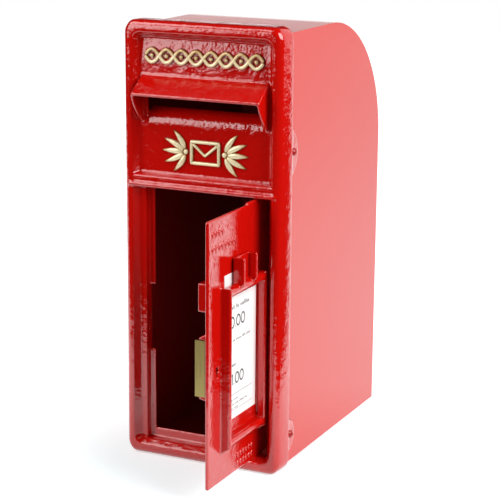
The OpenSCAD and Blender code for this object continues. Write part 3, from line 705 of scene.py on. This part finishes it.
def number(text, y, z, height, width):
    """Digits 0 and 1 and points, from the low left corner y, z: a 0 is an ellipse, a 1
    a stem with a flag, and a point a small square."""
    t = circle(40)
    shapes = []
    for letter in text:
        if letter == "0":
            oval = [y + width / 2 * (1 + np.cos(t)), z + height / 2 * (1 + np.sin(t))]
            shapes.append(pen(np.column_stack(oval), oval_pen, closed=True))
        elif letter == "1":
            stem_y, top_z = y + width * stem_share, z + height
            stem = np.linspace((stem_y, z - stem_below), (stem_y, top_z), 8)
            flag_end = (y + flag_inset, z + height * flag_share)
            flag = np.linspace((stem_y, top_z), flag_end, 5)
            shapes += [pen(stem, stem_pen), pen(flag, flag_pen)]
        else:
            shapes.append(bar(y - point_shift, z - point_shift, point_size, point_size))
        y += width * advance[letter]
    return shapes


print("pen lines of 10:", len(number("10", 0, 0, height=13, width=10)))

# %% [markdown]
# ## Setting the print
#
# The lines are set from the top down. Y runs along the card and Z up, both in mm, and
# each line is placed by its lower left corner. The card could carry one picture of the
# whole page, but ink in the mesh stays sharp at any distance.

# %% Print the card
text_left, foot_left, rule_left, rule_length = -95, -98, -99, 76
heading = {"height": 5.0, "step": 3.6}
opening_time = {"height": 13, "width": 10}
foot_print = {"height": 2.4, "step": 1.8}
ink = words(text_left, 234, (6, 2, 7), **heading)
ink += number("10.00", text_left, 211, **opening_time)
ink += words(text_left, 193, (7, 3, 8, 4, 6), height=2.8, step=2.0)
ink += words(text_left, 161, (7,), **heading)
ink += number("11.00", text_left, 138, **opening_time)
ink += [bar(rule_left, 124.5, rule_length, 0.5), bar(rule_left, 104, rule_length, 0.4)]
ink += words(foot_left, 117, (6, 4, 7), **foot_print)
ink += words(foot_left, 111, (9, 3, 5, 8, 4), **foot_print)
ink += words(foot_left, 106, (4, 7, 6), height=2.2, step=1.8)
grid_object("card_print", ink, card_ink, "door")

# %% [markdown]
# ## Floor and surroundings
#
# The box stands on white paper. The paper is a plain diffuse sheet, so it keeps the
# box's shadow. More light would turn it white, but would bleach the paint too. So for
# the camera and for reflections it also glows, more with the distance from the box, and
# passes into the white background without an edge.

# %% Floor
def stage_mesh(name, points, faces, material):
    """A mesh in metres that is part of the stage and not of the box."""
    mesh = bpy.data.meshes.new(name)
    mesh.from_pydata(points, [], faces)
    mesh.materials.append(material)
    piece = bpy.data.objects.new(name, mesh)
    bpy.context.scene.collection.objects.link(piece)
    return piece


def seen_by(tree, *rays):
    """A socket that is 1 for the named kinds of ray and 0 for all others."""
    path = add(tree, "LightPath")
    seen = path.outputs[f"Is {rays[0]} Ray"]
    for ray in rays[1:]:
        both = {0: seen, 1: path.outputs[f"Is {ray} Ray"]}
        seen = add(tree, "Math", both, operation="MAXIMUM").outputs[0]
    return seen


# The glow grows from its least to its full strength between two distances, in metres.
glow_start, glow_end, glow_least, glow_full = 0.12, 0.42, 0.5, 1.0

# Painted light: the paper glows though it is no lamp, and the blue-green tint of the paper and
# of its glow offsets the red light that the box throws onto it.
paper = new_material("white_table_paper", Base_Color=linear("DCE9EC"), Roughness=0.8)
tree = paper.node_tree
shader = tree.nodes["Principled BSDF"]
place = add(tree, "TexCoord")
away = add(tree, "VectorMath", {0: place.outputs["Object"]}, operation="LENGTH")
glow_at = add(tree, "MapRange", {"Value": away.outputs["Value"]},
              From_Min=glow_start, From_Max=glow_end, To_Min=glow_least, To_Max=glow_full)
glow = add(tree, "Emission", {"Strength": glow_at.outputs["Result"]}, Color=(0.96, 1, 1, 1))
bright = add(tree, "AddShader", {0: shader.outputs[0], 1: glow.outputs[0]})
mix = add(tree, "MixShader", {0: seen_by(tree, "Camera", "Glossy"),
                              1: shader.outputs[0], 2: bright.outputs[0]})
tree.links.new(mix.outputs[0], tree.nodes["Material Output"].inputs["Surface"])
# The sheet's corners, in metres. Its right edge runs back and then away to the right, so
# that the flat side of the box mirrors the sheet and the crowned side of the casting
# looks past it.
edge = [(-2.2, -0.5), (0.42, -0.5), (0.42, 0.45), (2.84, 5), (-2.2, 5)]
stage_mesh("floor", [(x, y, cad_lo.z) for x, y in edge], [range(len(edge))], paper)
print("floor at", cad_lo.z, "with", len(edge), "corners")

# %% [markdown]
# ## A dark room for the reflections
#
# Gloss paint shows what stands round it. The studio is white behind the box and dark
# elsewhere, so the front of the box shows deep red and its side a pale sheen. Black
# cards round the box would do this, as a photographer uses them, but a dome of panels
# is simpler to open where light should come in: low down at the back, and higher up at
# the back right. Only glossy rays see it, so it takes no light from the box.

# %% Dark room
# In metres and degrees. A turn counts from the right by way of the back, and a rise from
# the horizon up.
room_radius, first_turn, turn_step, lowest, rise_step = 4, 62, 6, -30, 5
# A panel is left out where its first turn and its lowest rise lie in one of these
# openings: turn from and to, rise from and to.
openings = ((60, 145, -31, 13), (60, 86, -31, 44), (391, 422, -4, 44))

dark = new_material("dark_room_wall", Base_Color=linear("181818"), Roughness=0.9)
turns = np.arange(first_turn, first_turn + 361, turn_step)
rises = np.arange(lowest, 91, rise_step)
rise, turn = np.meshgrid(np.radians(rises), np.radians(turns), indexing="ij")
points = room_radius * np.stack([
    np.cos(rise) * np.cos(turn), np.cos(rise) * np.sin(turn), np.sin(rise)], -1)
index = np.arange(rise.size).reshape(rise.shape)
quads = np.stack([index[:-1, :-1], index[:-1, 1:], index[1:, 1:], index[1:, :-1]], -1)
way, up = turns[None, :-1], rises[:-1, None]
is_open = np.zeros(quads.shape[:2], bool)
for start, end, low, high in openings:
    is_open |= (way > start) & (way < end) & (up > low) & (up < high)
panels = quads[~is_open].tolist()
room = stage_mesh("dark_room", points.reshape(-1, 3), panels, dark)
room.visible_camera = False
room.visible_diffuse = False
room.visible_shadow = False
print("dark room of", len(panels), "panels, with", int(is_open.sum()), "left open")

# %% [markdown]
# ## The world
#
# The world is white for the camera, for reflections and through glass. All other rays
# get a weak even light, which lifts the shadows a little. One even white world for all
# rays would flatten the shadow under the box.

# %% World
fill_light = 0.18
world = bpy.data.worlds.new("studio")
bpy.context.scene.world = world
world.use_nodes = True
tree = world.node_tree
tree.nodes.clear()
fill, white = [add(tree, "Background", Strength=strength, Color=(1, 1, 1, 1))
               for strength in (fill_light, 1.0)]
mix = add(tree, "MixShader", {0: seen_by(tree, "Camera", "Glossy", "Transmission"),
                              1: fill.outputs[0], 2: white.outputs[0]})
add(tree, "OutputWorld", {"Surface": mix.outputs[0]})
print("world: white to look at, fill light", fill_light)

# %% [markdown]
# ## Lamps
#
# A soft window stands to the front left with a second one above it. The rolled lip
# under the slot mirrors both as one pale band, and so does the round of the rim. The
# main lamp is to the right, so the side is brighter than the front. All three are wide,
# because a small lamp would put a hard dot on every curve of gloss paint.

# %% Lamps
def area_lamp(name, place, aim, power, width, height):
    """A soft lamp, width x height in metres, at place and turned to aim. Its power is
    in watts, and a smaller lamp of the same power has a brighter surface."""
    data = bpy.data.lights.new(name, "AREA")
    data.shape = "RECTANGLE"
    data.energy = power
    data.size, data.size_y = width, height
    lamp = bpy.data.objects.new(name, data)
    bpy.context.scene.collection.objects.link(lamp)
    lamp.location = place
    lamp.rotation_euler = (Vector(aim) - Vector(place)).to_track_quat("-Z", "Y").to_euler()


area_lamp("window_lamp", place=(-1.75, -1.95, 1.25), aim=(0, 0, 1.25),
          power=38, width=1.6, height=1.8)
area_lamp("side_lamp", place=(2.1, -0.2, 1.5), aim=(0, 0.1, 0.7),
          power=75, width=1.9, height=1.8)
area_lamp("high_lamp", place=(-1.24, -0.84, 2.11), aim=(0, 0, 0.5),
          power=15, width=1.0, height=1.1)

# %% [markdown]
# ## Camera
#
# The camera stands about 2.2 m away, to the right and a little above. Its place, turn
# and focal length could be set by eye, but straight edges in a photo tell them exactly:
# these were fitted to the edges of the box, for a sensor 36 mm wide.

# %% Camera
camera_place = (0.9492, -1.8627, 0.7933)
camera_turn = (76.2796, -0.4177, 25.572)
camera_data = bpy.data.cameras.new("camera")
camera_data.sensor_width = 36
camera_data.lens = 122.238
camera = bpy.data.objects.new("camera", camera_data)
bpy.context.scene.collection.objects.link(camera)
camera.location = camera_place
camera.rotation_euler = [math.radians(v) for v in camera_turn]
bpy.context.scene.camera = camera
bpy.context.scene.view_settings.view_transform = "Standard"
print("camera at", tuple(round(v, 3) for v in camera.location))

# %% [markdown]
# ## Last step
#
# The soft copies and the ornament are meant to stay inside the CAD box. Last, the
# scene is brought up to date.

# %% Bring the scene up to date
bpy.context.view_layer.update()
